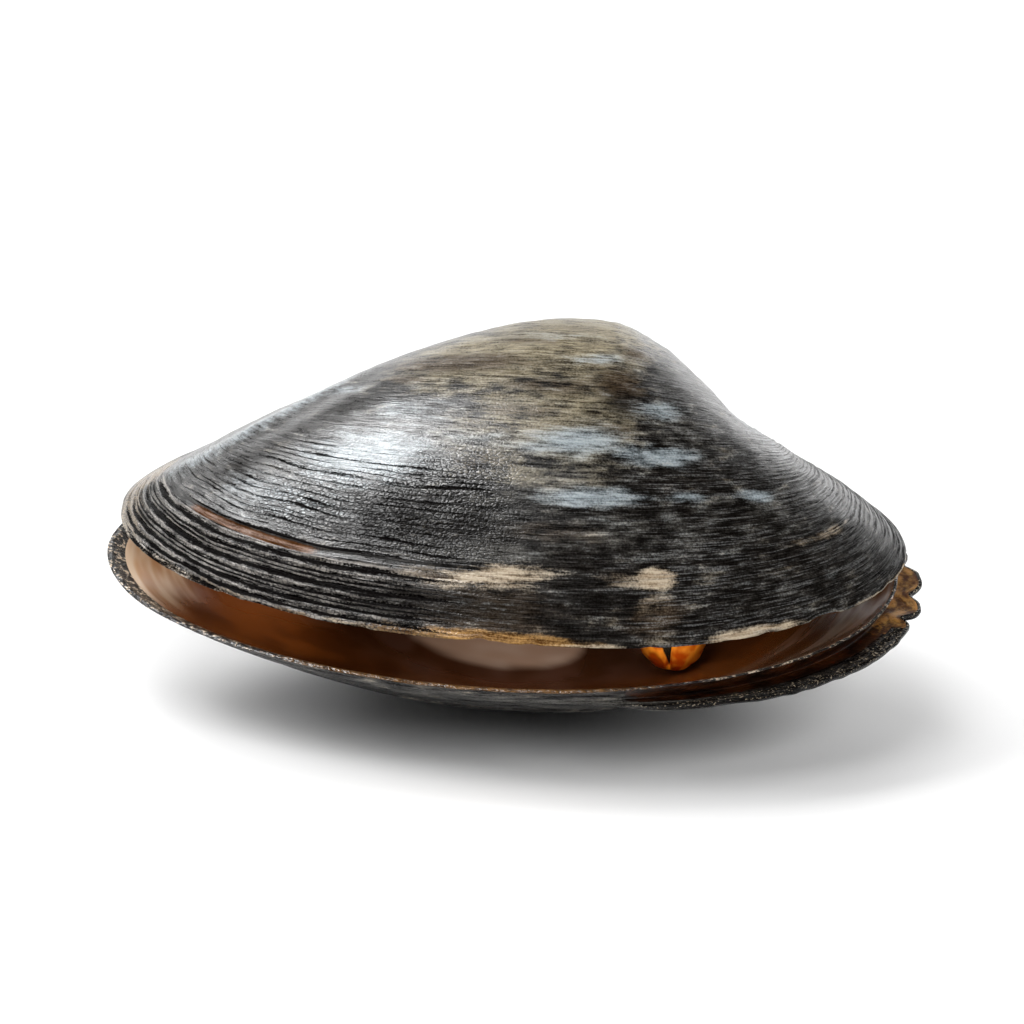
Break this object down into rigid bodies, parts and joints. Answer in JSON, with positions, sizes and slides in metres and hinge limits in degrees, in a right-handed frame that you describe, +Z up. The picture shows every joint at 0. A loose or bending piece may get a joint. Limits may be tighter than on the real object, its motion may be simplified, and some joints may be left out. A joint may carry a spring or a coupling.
{
  "type": "soft-shell clam shell",
  "caption": "Empty clam shell lying on its lower valve, dark ridged upper valve a little open, showing a brown glossy inside.",
  "frame": {"origin": "middle of the bounding box in plan, on the surface the shell rests on", "axes": "+X along the shell's length towards the end beyond the beaks, -Y towards the open edge, +Z up"},
  "size_m": [0.0846, 0.0568, 0.0369],
  "materials": {
    "dark_outer_skin": "rough glossy shell skin",
    "brown_lining": "smooth glossy shell lining",
    "horny_ligament": "dull horny",
    "dried_amber": "clear glossy resin"
  },
  "bodies": {
    "root": {"upper_valve": "dark_outer_skin", "lower_valve": "brown_lining", "ligament": "horny_ligament", "amber_drop": "dried_amber"}
  },
  "joints": []
}
